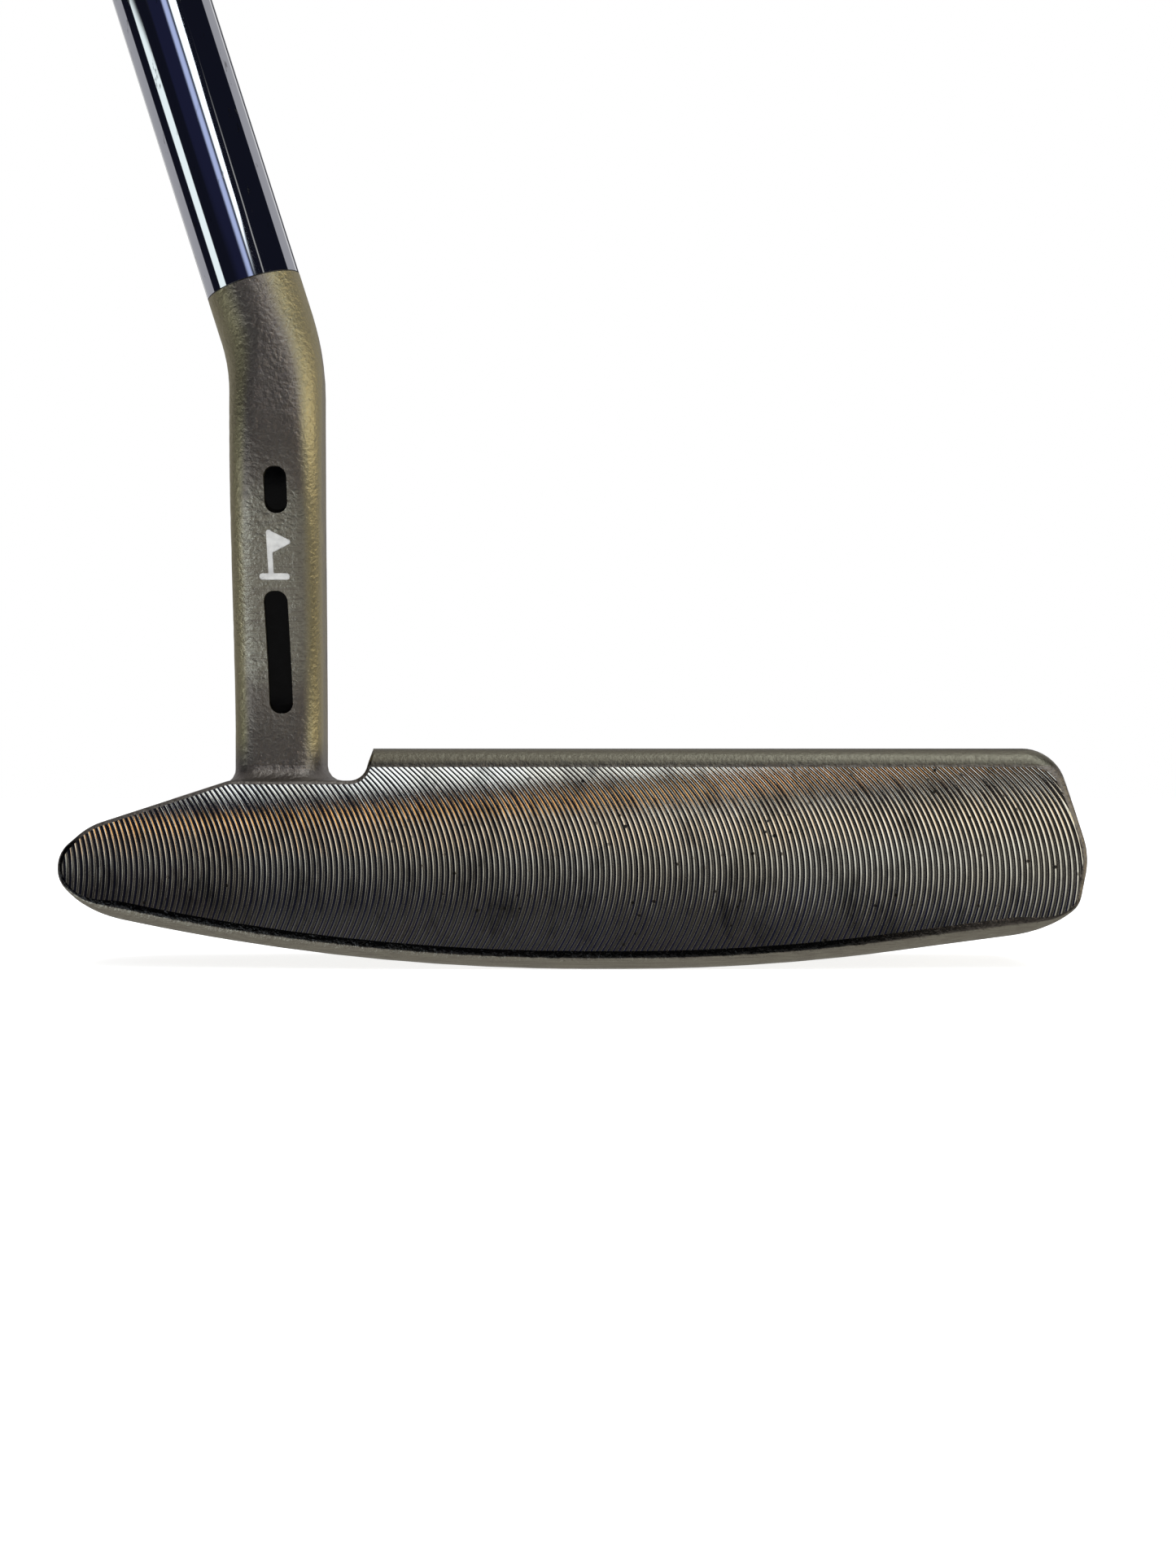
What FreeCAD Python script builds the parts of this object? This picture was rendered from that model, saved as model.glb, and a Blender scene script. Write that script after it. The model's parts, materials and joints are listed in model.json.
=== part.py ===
"""A blade putter, built as the real one is assembled, written as one STEP file per piece.

Frame, in millimetres: +Z is up, +X runs towards the toe and the striking face looks towards -Y. The origin is on the
ground, at the centre of the flat on the sole. The club stands at address, so its shaft leans towards the heel.
"""

import FreeCAD
import Part
import math
import os
from FreeCAD import Placement, Rotation, Vector

# Head, seen from the front
TOE_END = 53.0  # vertex of the outline at the widest part of the toe
HEEL_END = -60.25
TOPLINE_HEIGHT = 24.3
TOPLINE_START = -25.8  # the notch beside the neck ends here
TOE_TOP = 49.35
TOE_WIDEST_HEIGHT = 12.5
TOE_CORNER = [(51.87, 7.05, 2.8), (48.16, 4.15, 13.0)]  # x, z, radius, from the toe down to the sole
HEEL_CORNER = [(-56.65, 6.12, 11.0), (HEEL_END, 9.72, 3.2), (HEEL_END, 12.87, 3.4), (-56.8, 15.77, 7.5)]
LEDGE_HEIGHT = 20.75  # the low stretch of the top that carries the neck
LEDGE_START = -41.5
NOTCH_X = -26.75
SOLE_FLAT = 4.0  # width of the flat that rests on the ground
SOLE_TOE_RADIUS, SOLE_TOE_ANGLE = 225.0, 7.5
SOLE_HEEL_RADIUS, SOLE_HEEL_ANGLE = 245.0, 12.1

# Head, seen from the side
HEAD_DEPTH = 27.0
FACE_Y = -13.0  # the face plane crosses this at FACE_MID_HEIGHT
FACE_MID_HEIGHT = 12.0
LOFT = 3.0
BLADE_BACK_Y = -6.4  # rear wall of the blade behind the face
TOE_DECK_HEIGHT = 18.6
HEEL_DECK_END_Y = 2.6
FLANGE_HEIGHT = 6.8
REAR_HEIGHT = 8.6  # top of the bumpers at the back edge
SOLE_CAMBER_RADIUS = 32.0

# Rounds on the front edges
TOPLINE_ROUND = 2.2
SOLE_ROUND = 2.0
END_ROUND = 0.6
EDGE_BREAK = 0.45

# Rear cavity and its sight line
SIGHT_X = -1.0
CAVITY_HALF_WIDTH = 25.0
CAVITY_TAPER = 3.0  # how much narrower each side is at the back edge
CAVITY_ROUND = 2.2
REAR_ROUND = 0.8
SIGHT_WIDTH, SIGHT_LENGTH, SIGHT_DEPTH = 1.5, 14.0, 0.8

# Neck and hosel
NECK_FOOT_X, NECK_TOP_X = -36.5, -35.33
NECK_HALF_WIDTH, NECK_HALF_DEPTH = 4.88, 5.0
NECK_CORNER = 2.6
NECK_SETBACK = 2.1  # neck front behind the face at the ledge
FLARE = 1.7  # round between the neck and the ledge
NECK_ROOT_DEPTH = 8.0
SWEEP_SECTIONS, BEND_SECTIONS = 12, 5
SHAFT_Y = -18.2  # full offset: the shaft axis is half a shaft ahead of the leading edge
SWEEP_START, SWEEP_END = 23.0, 60.0  # heights between which the neck sweeps forward
BEND_HEIGHT = 65.6
BEND_RADIUS = 24.0
SHAFT_LEAN = 17.7
BEND_TO_JOINT = 8.4
POST_RADIUS, POST_LENGTH = 4.6, 32.0

# Enamel-filled recesses in the neck front: (x, z, width, height)
UPPER_SLOT = (-35.2, 51.6, 2.45, 4.8)
LOWER_SLOT = (-35.85, 34.7, 2.6, 13.1)
SLOT_CORNER, SLOT_DEPTH, SLOT_ENAMEL = 1.15, 1.6, 0.9
MARK_X, MARK_Z, MARK_SIZE, MARK_DEPTH = -35.4, 45.1, 4.8, 0.5

# Shaft
CLUB_LENGTH = 889.0  # 35 inches, along the shaft axis from the ground to the end of the cap
SHAFT_TIP_RADIUS, SHAFT_BUTT_RADIUS = 5.1, 7.366
SHAFT_WALL = 0.4
SHAFT_STEPS, STEP_PITCH, STEP_TAPER = 9, 38.0, 1.2
LAST_STEP_BELOW_GRIP = 60.0
BOND_GAP = 0.12  # epoxy line between hosel shoulder and shaft end

# Grip
GRIP_LENGTH = 267.0
CAP_THICKNESS = 3.2
CAP_PLUG_LENGTH = 5.0
VENT_RADIUS = 1.6
TAPE_THICKNESS = 0.2
BAND_LENGTH, BAND_THICKNESS, BAND_BELOW_GRIP = 44.0, 0.1, 9.0

RAY_COUNT = 48  # points round each section of the neck and the grip


def rounded_wire(vertices, place):
    """A closed wire of straight sides and tangent arcs. vertices are (u, v, corner radius); place maps (u, v) to 3-D."""
    points = [place(u, v) for u, v, _ in vertices]
    corners = []
    for i, (_, _, radius) in enumerate(vertices):
        corner = points[i]
        before = (points[i - 1] - corner).normalize()
        after = (points[(i + 1) % len(points)] - corner).normalize()
        half = before.getAngle(after) / 2
        tangent = radius / math.tan(half)
        middle = corner + (before + after).normalize() * (radius / math.sin(half) - radius)
        corners.append((corner + before * tangent, middle, corner + after * tangent, radius))
    edges = []
    for i, (start, middle, end, radius) in enumerate(corners):
        if radius:
            edges.append(Part.Arc(start, middle, end).toShape())
        following = corners[(i + 1) % len(corners)][0]
        if (following - end).Length > 1e-6:
            edges.append(Part.LineSegment(end, following).toShape())
    return Part.Wire(edges)


def front_prism(vertices, y_from, y_to):
    """A solid whose outline is drawn in the XZ plane."""
    wire = rounded_wire(vertices, lambda u, v: Vector(u, y_from, v))
    return Part.Face(wire).extrude(Vector(0, y_to - y_from, 0))


def side_prism(vertices, x_from, x_to):
    """A solid whose outline is drawn in the YZ plane."""
    wire = rounded_wire(vertices, lambda u, v: Vector(x_from, u, v))
    return Part.Face(wire).extrude(Vector(x_to - x_from, 0, 0))


def top_prism(vertices, z_from, z_to):
    """A solid whose outline is drawn in the XY plane."""
    wire = rounded_wire(vertices, lambda u, v: Vector(u, v, z_from))
    return Part.Face(wire).extrude(Vector(0, 0, z_to - z_from))


def face_y(height):
    """Where the striking face is at a height: the loft tips its top backwards."""
    return FACE_Y + (height - FACE_MID_HEIGHT) * math.tan(math.radians(LOFT))


def fillet(shape, edges):
    """Rounds several edges at once. edges are (index from 1, first radius, last radius)."""
    document = FreeCAD.newDocument("round")
    base = document.addObject("Part::Feature", "base")
    base.Shape = shape
    feature = document.addObject("Part::Fillet", "fillet")
    feature.Base = base
    feature.Edges = edges
    document.recompute()
    rounded = feature.Shape.copy()
    FreeCAD.closeDocument(document.Name)
    if rounded.isNull() or not rounded.isValid():
        raise ValueError(f"fillet failed on {len(edges)} edges")
    return rounded


def head_outline():
    """The head from the front, clockwise from the top of the notch: (x, z, corner radius)."""
    toe_vertex = SOLE_FLAT / 2 + SOLE_TOE_RADIUS * math.tan(math.radians(SOLE_TOE_ANGLE / 2))
    heel_vertex = -SOLE_FLAT / 2 - SOLE_HEEL_RADIUS * math.tan(math.radians(SOLE_HEEL_ANGLE / 2))
    return [
        (TOPLINE_START, TOPLINE_HEIGHT, 0),
        (TOE_TOP, TOPLINE_HEIGHT, 4.6),
        (TOE_END, TOE_WIDEST_HEIGHT, 8.0),
        *TOE_CORNER,
        (toe_vertex, 0, SOLE_TOE_RADIUS),
        (heel_vertex, 0, SOLE_HEEL_RADIUS),
        *HEEL_CORNER,
        (LEDGE_START, LEDGE_HEIGHT, 2.0),
        (NOTCH_X, LEDGE_HEIGHT, 2.0),
    ]


def head_envelope():
    """The block that the head is carved from: front outline, plan outline and cambered sole together."""
    back = FACE_Y + HEAD_DEPTH
    front = FACE_Y - 10
    block = front_prism(head_outline(), front, back + 5)
    plan = [
        (HEEL_END - 2, front, 0),
        (TOE_END + 2, front, 0),
        (TOE_END + 0.6, back - 1.5, 13.0),
        (SIGHT_X, back + 1.2, 260.0),
        (HEEL_END - 0.6, back - 1.5, 15.0),
    ]
    camber_start, camber_centre = 4.0, 2.5
    lift = math.sqrt(SOLE_CAMBER_RADIUS**2 - (camber_start - camber_centre) ** 2)
    rise = (back + 5 - camber_centre) ** 2 / (2 * SOLE_CAMBER_RADIUS)
    camber = Part.makeCylinder(SOLE_CAMBER_RADIUS, 200, Vector(-100, camber_centre, lift), Vector(1, 0, 0))
    under = Part.makeBox(200, back + 5 - camber_start, rise + 6, Vector(-100, camber_start, -1))
    in_front = Part.makeBox(300, 60, 300, Vector(-150, -60, -150))
    in_front.rotate(Vector(0, 0, 0), Vector(1, 0, 0), -LOFT)
    in_front.translate(Vector(0, FACE_Y, FACE_MID_HEIGHT))
    block = block.common(top_prism(plan, -5, 40))
    return block.cut(under.cut(camber)).cut(in_front)


def front_radius(point):
    """The size of the round on the edge of the striking face at a point of that edge."""
    if point.z > TOPLINE_HEIGHT - 0.5:
        return TOPLINE_ROUND
    if point.x > 0 and point.z > TOE_WIDEST_HEIGHT + 5:
        return 1.1
    if point.x > 0 and point.z > 6.5:
        return END_ROUND
    if point.z < 5.5 or (point.z < 7 and point.x < 0):
        return SOLE_ROUND
    return END_ROUND if point.x < -58 else EDGE_BREAK


def on_face(point):
    return abs(point.y - face_y(point.z)) < 1e-3


def round_front(block):
    """The rolled topline and leading edge, running into a light edge break round the heel, ledge and notch."""
    edges = []
    for index, edge in enumerate(block.Edges, 1):
        ends = [edge.valueAt(edge.FirstParameter), edge.valueAt(edge.LastParameter)]
        if all(on_face(end) for end in ends):
            edges.append((index, front_radius(ends[0]), front_radius(ends[1])))
    return fillet(block, edges)


def rear_cuts():
    """The tools that shape the back: the step behind the topline, the two sloping decks and the cavity."""
    back = FACE_Y + HEAD_DEPTH + 8
    toe_side = [
        (BLADE_BACK_Y, 40, 0),
        (BLADE_BACK_Y, TOE_DECK_HEIGHT, CAVITY_ROUND),
        (2.0, TOE_DECK_HEIGHT, 5.0),
        (14.0, REAR_HEIGHT, 4.0),
        (back, REAR_HEIGHT - 1.5, 0),
        (back, 40, 0),
    ]
    heel_side = [
        (HEEL_DECK_END_Y - 4, 40, 0),
        (HEEL_DECK_END_Y - 4, LEDGE_HEIGHT + 0.01, 0),
        (HEEL_DECK_END_Y, LEDGE_HEIGHT + 0.01, 5.0),
        (14.0, REAR_HEIGHT, 4.0),
        (back, REAR_HEIGHT - 1.5, 0),
        (back, 40, 0),
    ]
    step = [
        (BLADE_BACK_Y, 40, 0),
        (BLADE_BACK_Y, LEDGE_HEIGHT, 1.2),
        (back, LEDGE_HEIGHT, 0),
        (back, 40, 0),
    ]
    near, far = CAVITY_HALF_WIDTH, CAVITY_HALF_WIDTH - CAVITY_TAPER
    cavity = [
        (SIGHT_X - near, BLADE_BACK_Y, 3.5),
        (SIGHT_X + near, BLADE_BACK_Y, 3.5),
        (SIGHT_X + far, back, 0),
        (SIGHT_X - far, back, 0),
    ]
    pocket = top_prism(cavity, FLANGE_HEIGHT, 40)
    floor = [
        (index, CAVITY_ROUND, CAVITY_ROUND)
        for index, edge in enumerate(pocket.Edges, 1)
        if abs(edge.BoundBox.ZMax - FLANGE_HEIGHT) < 1e-6 and edge.BoundBox.YMin < back - 1
    ]
    return [
        side_prism(toe_side, SIGHT_X, 80),
        side_prism(heel_side, -80, SIGHT_X),
        side_prism(step, -30, SIGHT_X),
        fillet(pocket, floor),
    ]


def sharpness(shape, edge):
    """The angle in degrees between the surfaces on the two sides of an edge."""
    middle = edge.valueAt((edge.FirstParameter + edge.LastParameter) / 2)
    faces = shape.ancestorsOfType(edge, Part.Face)
    if len(faces) != 2:
        return 0
    normals = [face.normalAt(*face.Surface.parameter(middle)) for face in faces]
    return math.degrees(normals[0].getAngle(normals[1]))


def round_rear(body):
    """Softens the edges behind the face, but not the heel slope or the back rim of the cavity floor."""
    edges = []
    for index, edge in enumerate(body.Edges, 1):
        box = edge.BoundBox
        in_front = box.YMax < BLADE_BACK_Y - 0.2
        on_slope = box.XMax < LEDGE_START + 1.5 and box.ZMin > 15
        on_rim = box.YMin > 14 and box.ZMin > FLANGE_HEIGHT - 0.1
        beside_notch = box.XMax < TOPLINE_START + 0.1 and box.ZMin > LEDGE_HEIGHT - 0.1 and box.YMax < -5
        if in_front or on_slope or on_rim or beside_notch or edge.Length < 0.3:
            continue
        if sharpness(body, edge) > 20:
            edges.append((index, REAR_ROUND, REAR_ROUND))
    return fillet(body, edges)


def section_wire(centre, across, half_width, half_depth, corner):
    """A closed smooth curve: a rectangle with rounded corners, which is a circle where corner is its half width."""
    points = []
    for k in range(RAY_COUNT):
        angle = 2 * math.pi * (k + 0.5) / RAY_COUNT
        c, s = math.cos(angle), math.sin(angle)
        radius = min(corner, half_width, half_depth)
        reach = ray_to_rounded_rectangle(abs(c), abs(s), half_width, half_depth, radius)
        points.append(centre + across * (c * reach) + Vector(0, s * reach, 0))
    curve = Part.BSplineCurve()
    curve.interpolate(Points=points, PeriodicFlag=True)
    return Part.Wire([curve.toShape()])


def ray_to_rounded_rectangle(c, s, a, b, r):
    """How far a ray (c, s) from the centre runs inside a rectangle of half sides a and b with corner radius r."""
    if c > 1e-9 and a * s / c <= b - r:
        return a / c
    if s > 1e-9 and b * c / s <= a - r:
        return b / s
    along = c * (a - r) + s * (b - r)
    return along + math.sqrt(max(along * along - (a - r) ** 2 - (b - r) ** 2 + r * r, 0))


def shaft_direction():
    lean = math.radians(SHAFT_LEAN)
    return Vector(-math.sin(lean), 0, math.cos(lean))


def joint_point():
    """The centre of the hosel shoulder, where the shaft starts."""
    return Vector(NECK_TOP_X, SHAFT_Y, BEND_HEIGHT) + shaft_direction() * BEND_TO_JOINT


def neck_centre(height):
    """The middle of the neck at a height: it sweeps forward from behind the face to the shaft axis."""
    t = min(max((height - SWEEP_START) / (SWEEP_END - SWEEP_START), 0), 1)
    swept = t * t * (3 - 2 * t)
    foot_y = face_y(LEDGE_HEIGHT) + NECK_SETBACK + NECK_HALF_DEPTH
    x = NECK_FOOT_X + (NECK_TOP_X - NECK_FOOT_X) * swept
    return Vector(x, foot_y + (SHAFT_Y - foot_y) * swept, height)


def neck_section(centre, across, roundness):
    """One section, between the rounded square of the foot (roundness 0) and the shaft's circle (roundness 1)."""
    corner = NECK_CORNER + (SHAFT_TIP_RADIUS - NECK_CORNER) * roundness
    half_width = NECK_HALF_WIDTH + (SHAFT_TIP_RADIUS - NECK_HALF_WIDTH) * roundness
    half_depth = NECK_HALF_DEPTH + (SHAFT_TIP_RADIUS - NECK_HALF_DEPTH) * roundness
    return section_wire(centre, across, half_width, half_depth, corner)


def neck():
    """The neck from inside the heel through the forward sweep and the bend to the hosel shoulder."""
    across = Vector(1, 0, 0)
    root = neck_section(neck_centre(SWEEP_START), across, 0)
    bend_start = BEND_HEIGHT - BEND_RADIUS * math.tan(math.radians(SHAFT_LEAN / 2))
    sweep = [root]
    for k in range(1, SWEEP_SECTIONS + 1):
        height = SWEEP_START + (bend_start - SWEEP_START) * k / SWEEP_SECTIONS
        sweep.append(neck_section(neck_centre(height), across, max(k / SWEEP_SECTIONS - 0.7, 0)))
    bend = [sweep[-1]]
    for k in range(1, BEND_SECTIONS + 1):
        turn = math.radians(SHAFT_LEAN * k / BEND_SECTIONS)
        x = NECK_TOP_X - BEND_RADIUS * (1 - math.cos(turn))
        centre = Vector(x, SHAFT_Y, bend_start + BEND_RADIUS * math.sin(turn))
        sideways = Vector(math.cos(turn), 0, math.sin(turn))
        bend.append(neck_section(centre, sideways, 0.3 + 0.7 * k / BEND_SECTIONS))
    collar = BEND_TO_JOINT - BEND_RADIUS * math.tan(math.radians(SHAFT_LEAN / 2))
    lower = Part.Face(root).extrude(Vector(0, 0, -NECK_ROOT_DEPTH))
    upper = Part.Face(bend[-1]).extrude(shaft_direction() * collar)
    lofts = [Part.makeLoft(wires, True, False, False, 5) for wires in (sweep, bend)]
    return lower.fuse(lofts + [upper]).removeSplitter()


def round_neck_foot(body):
    """The hollow round where the neck grows out of the ledge."""
    edges = []
    for index, edge in enumerate(body.Edges, 1):
        box = edge.BoundBox
        beside_neck = NECK_FOOT_X - 6 < box.XMin and box.XMax < NECK_FOOT_X + 6
        on_ledge = LEDGE_HEIGHT - 1 < box.ZMin and box.ZMax < LEDGE_HEIGHT + 0.4
        if beside_neck and on_ledge and sharpness(body, edge) > 30:
            edges.append((index, FLARE, FLARE))
    return fillet(body, edges)


def on_shaft(shape):
    """Moves a shape built round +Z from z = 0 onto the shaft axis, with z = 0 at the hosel shoulder."""
    moved = shape.copy()
    moved.Placement = Placement(joint_point(), Rotation(Vector(0, 1, 0), -SHAFT_LEAN)).multiply(moved.Placement)
    return moved


def moved_back(shape, distance):
    moved = shape.copy()
    moved.translate(Vector(0, distance, 0))
    return moved


def inlay(shape, neck_body, shallow, deep):
    """The part of a prism between two depths below the front of the neck, following its sweep."""
    return shape.common(moved_back(neck_body, shallow)).cut(moved_back(neck_body, deep))


def slot(x, z, width, height):
    """A slot with full corners, as a prism from ahead of the neck front to its middle."""
    left, right, low, high = x - width / 2, x + width / 2, z - height / 2, z + height / 2
    outline = [(left, high), (right, high), (right, low), (left, low)]
    return front_prism([(u, v, SLOT_CORNER) for u, v in outline], -35, neck_centre(z).y + 1)


def flag_mark():
    """A plain pin-and-pennant sign, as a prism from ahead of the neck front to its middle."""
    half, pole_x, pole_half = MARK_SIZE / 2, MARK_X - 0.75, 0.3
    left, right, low, high = pole_x - pole_half, pole_x + pole_half, MARK_Z - half, MARK_Z + half
    pole = [(left, high, 0.25), (right, high, 0.25), (right, low, 0.25), (left, low, 0.25)]
    pennant = [(pole_x, high, 0.2), (pole_x + 2.6, high - 1.25, 0.25), (pole_x, high - 2.5, 0.2)]
    left, right, low, high = pole_x - 1.3, pole_x + 2.0, low - 0.35, low + 0.35
    ground = [(left, high, 0.33), (right, high, 0.33), (right, low, 0.33), (left, low, 0.33)]
    back = neck_centre(MARK_Z).y
    prisms = [front_prism(outline, -35, back) for outline in (pole, pennant, ground)]
    return prisms[0].fuse(prisms[1:]).removeSplitter()


def sight_line(bottom, top):
    half = SIGHT_WIDTH / 2
    y_from = BLADE_BACK_Y + CAVITY_ROUND + 1.0
    outline = [(SIGHT_X - half, y_from, 0.4), (SIGHT_X + half, y_from, 0.4),
               (SIGHT_X + half, y_from + SIGHT_LENGTH, 0.4), (SIGHT_X - half, y_from + SIGHT_LENGTH, 0.4)]
    return top_prism(outline, bottom, top)


def head(neck_body):
    """One casting: blade, heel and toe weights, flange, neck and the post that the shaft fits over."""
    body = round_front(head_envelope())
    for tool in rear_cuts():
        body = body.cut(tool)
    body = round_neck_foot(round_rear(body.removeSplitter()).fuse(neck_body))
    post = Part.makeCylinder(POST_RADIUS, POST_LENGTH + 2, Vector(0, 0, -2))
    post = fillet(post, [(i, 0.8, 0.8) for i, e in enumerate(post.Edges, 1) if e.BoundBox.ZMin > POST_LENGTH - 1e-6])
    body = body.fuse(on_shaft(post))
    body = body.cut(inlay(slot(*UPPER_SLOT), neck_body, -2, SLOT_DEPTH))
    body = body.cut(inlay(slot(*LOWER_SLOT), neck_body, -2, SLOT_DEPTH))
    body = body.cut(inlay(flag_mark(), neck_body, -2, MARK_DEPTH))
    return body.cut(sight_line(FLANGE_HEIGHT - SIGHT_DEPTH, FLANGE_HEIGHT + 4))


def shaft_length():
    below = joint_point().z / math.cos(math.radians(SHAFT_LEAN))
    return CLUB_LENGTH - CAP_THICKNESS - below


def grip_start():
    return shaft_length() + CAP_THICKNESS - GRIP_LENGTH


def shaft_outline():
    """The outside of the shaft as (radius, height) from tip to butt, one short taper at each step."""
    rise = (SHAFT_BUTT_RADIUS - SHAFT_TIP_RADIUS) / SHAFT_STEPS
    first = grip_start() - LAST_STEP_BELOW_GRIP - STEP_PITCH * (SHAFT_STEPS - 1)
    outline = [(SHAFT_TIP_RADIUS, BOND_GAP)]
    for k in range(SHAFT_STEPS):
        height = first + STEP_PITCH * k
        outline.append((SHAFT_TIP_RADIUS + rise * k, height))
        outline.append((SHAFT_TIP_RADIUS + rise * (k + 1), height + STEP_TAPER))
    outline.append((SHAFT_BUTT_RADIUS, shaft_length()))
    return outline


def revolved(profile):
    points = [Vector(radius, 0, height) for radius, height in profile]
    wire = Part.makePolygon(points + [points[0]])
    return Part.Face(wire).revolve(Vector(0, 0, 0), Vector(0, 0, 1), 360)


def shaft():
    outside = shaft_outline()
    inside = [(radius - SHAFT_WALL, height) for radius, height in outside]
    return on_shaft(revolved(outside + inside[::-1]))


def hosel_epoxy():
    """The cured film between post and shaft, with the thin bead that shows at the shoulder."""
    bore = SHAFT_TIP_RADIUS - SHAFT_WALL
    profile = [(POST_RADIUS, 0), (SHAFT_TIP_RADIUS - 0.12, 0), (SHAFT_TIP_RADIUS - 0.12, BOND_GAP),
               (bore, BOND_GAP), (bore, POST_LENGTH - 1), (POST_RADIUS, POST_LENGTH - 1)]
    return on_shaft(revolved(profile))


def tube(inner, outer, z_from, z_to):
    return revolved([(inner, z_from), (outer, z_from), (outer, z_to), (inner, z_to)])


def shaft_band():
    """A plain foil band round the widest part of the shaft, just below the grip."""
    top = grip_start() - BAND_BELOW_GRIP
    return on_shaft(tube(SHAFT_BUTT_RADIUS, SHAFT_BUTT_RADIUS + BAND_THICKNESS, top - BAND_LENGTH, top))


def grip_tape():
    return on_shaft(tube(SHAFT_BUTT_RADIUS, SHAFT_BUTT_RADIUS + TAPE_THICKNESS, grip_start() + 6, shaft_length() - 1))


def grip_section(height):
    """Front flat, pistol back and half width of the paddle grip at a height above its mouth, in millimetres."""
    t = height / GRIP_LENGTH
    swell = math.exp(-((t - 0.93) / 0.2) ** 2)
    flat = 10.0 + 1.4 * t
    back = 9.9 + 2.8 * t + 6.6 * swell
    half_width = 9.9 + 2.5 * t
    return flat, back, half_width


def grip_wire(height, trim=0.0):
    """One section of the grip: a flat with soft corners on the +X side, an ellipse on the other."""
    flat, back, half_width = (size - trim for size in grip_section(height))
    points = []
    squareness = 3.6
    for k in range(RAY_COUNT):
        angle = 2 * math.pi * k / RAY_COUNT
        c, s = math.cos(angle), math.sin(angle)
        power = 2 / squareness if c > 0 else 1.0
        reach = flat if c > 0 else back
        x = math.copysign(abs(c) ** power, c) * reach
        y = math.copysign(abs(s) ** power, s) * half_width
        points.append(Vector(x, y, height))
    curve = Part.BSplineCurve()
    curve.interpolate(Points=points, PeriodicFlag=True)
    return Part.Wire([curve.toShape()])


def grip():
    """The moulded rubber sleeve, open at its mouth and closed by the cap."""
    length = GRIP_LENGTH - CAP_THICKNESS
    heights = [0, 0.6, 2.0] + [2 + (length - 2) * k / 14 for k in range(1, 15)]
    trims = [0.9, 0.25, 0] + [0] * 14
    body = Part.makeLoft([grip_wire(h, t) for h, t in zip(heights, trims)], True, False, False, 5)
    bore = Part.makeCylinder(SHAFT_BUTT_RADIUS + TAPE_THICKNESS, length + 2, Vector(0, 0, -1))
    body = body.cut(bore)
    body.translate(Vector(0, 0, grip_start()))
    return on_shaft(body)


def grip_cap():
    """The end cap: a disc in the shape of the grip's end, with a plug inside the shaft and a vent hole."""
    start = GRIP_LENGTH - CAP_THICKNESS
    wires = [grip_wire(start, 0), grip_wire(start + CAP_THICKNESS * 0.45, 0.1),
             grip_wire(start + CAP_THICKNESS * 0.8, 0.8), grip_wire(start + CAP_THICKNESS, 2.6)]
    disc = Part.makeLoft(wires, True, False, False, 5)
    plug_radius = SHAFT_BUTT_RADIUS - SHAFT_WALL - 0.1
    plug = Part.makeCylinder(plug_radius, CAP_PLUG_LENGTH + 0.5, Vector(0, 0, start - CAP_PLUG_LENGTH))
    vent = Part.makeCylinder(VENT_RADIUS, 30, Vector(0, 0, start - 15))
    cap = disc.fuse(plug).cut(vent).removeSplitter()
    cap.translate(Vector(0, 0, grip_start()))
    return on_shaft(cap)


def main():
    neck_body = neck()
    enamel_top = SLOT_DEPTH - SLOT_ENAMEL
    pieces = {
        "head": head(neck_body),
        "upper_slot_enamel": inlay(slot(*UPPER_SLOT), neck_body, enamel_top, SLOT_DEPTH),
        "lower_slot_enamel": inlay(slot(*LOWER_SLOT), neck_body, enamel_top, SLOT_DEPTH),
        "neck_mark_enamel": inlay(flag_mark(), neck_body, 0.08, MARK_DEPTH),
        "sight_line_enamel": sight_line(FLANGE_HEIGHT - SIGHT_DEPTH, FLANGE_HEIGHT - 0.15),
        "hosel_epoxy": hosel_epoxy(),
        "shaft": shaft(),
        "shaft_band": shaft_band(),
        "grip_tape": grip_tape(),
        "grip": grip(),
        "grip_cap": grip_cap(),
    }
    for name, shape in pieces.items():
        print(f"{name}: valid {shape.isValid()}, solids {len(shape.Solids)}, volume {shape.Volume / 1000:.3f} cm3")
        shape.exportStep(f"parts/{name}.step")


os.makedirs("parts", exist_ok=True)
main()
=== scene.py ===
"""The look of a blade putter: materials, the milled pattern of the striking face, the mould pattern of the
grip, a pale floor and soft studio light. Metres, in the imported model's own frame."""

import json
import math
import random

import bmesh
import bpy
import numpy as np
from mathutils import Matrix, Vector
from mathutils.bvhtree import BVHTree


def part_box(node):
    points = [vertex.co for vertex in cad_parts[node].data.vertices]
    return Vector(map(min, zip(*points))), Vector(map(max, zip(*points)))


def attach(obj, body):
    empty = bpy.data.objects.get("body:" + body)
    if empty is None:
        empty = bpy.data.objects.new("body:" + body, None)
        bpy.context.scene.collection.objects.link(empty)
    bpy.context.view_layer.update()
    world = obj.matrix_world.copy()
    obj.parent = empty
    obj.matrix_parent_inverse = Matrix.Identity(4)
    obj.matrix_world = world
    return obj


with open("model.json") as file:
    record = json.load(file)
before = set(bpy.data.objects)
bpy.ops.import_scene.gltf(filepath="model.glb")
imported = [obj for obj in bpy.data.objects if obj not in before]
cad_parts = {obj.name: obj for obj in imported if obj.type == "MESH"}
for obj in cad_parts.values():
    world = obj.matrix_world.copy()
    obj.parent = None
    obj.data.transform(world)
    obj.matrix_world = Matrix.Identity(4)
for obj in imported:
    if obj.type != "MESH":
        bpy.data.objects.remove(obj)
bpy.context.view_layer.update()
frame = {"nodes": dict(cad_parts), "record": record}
MM = 0.001
WHITE = (1.0, 1.0, 1.0)

LOFT = math.radians(3.0)
SHAFT_LEAN = math.radians(17.7)
FACE_Y, FACE_MID = -13.0 * MM, 12.0 * MM


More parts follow.
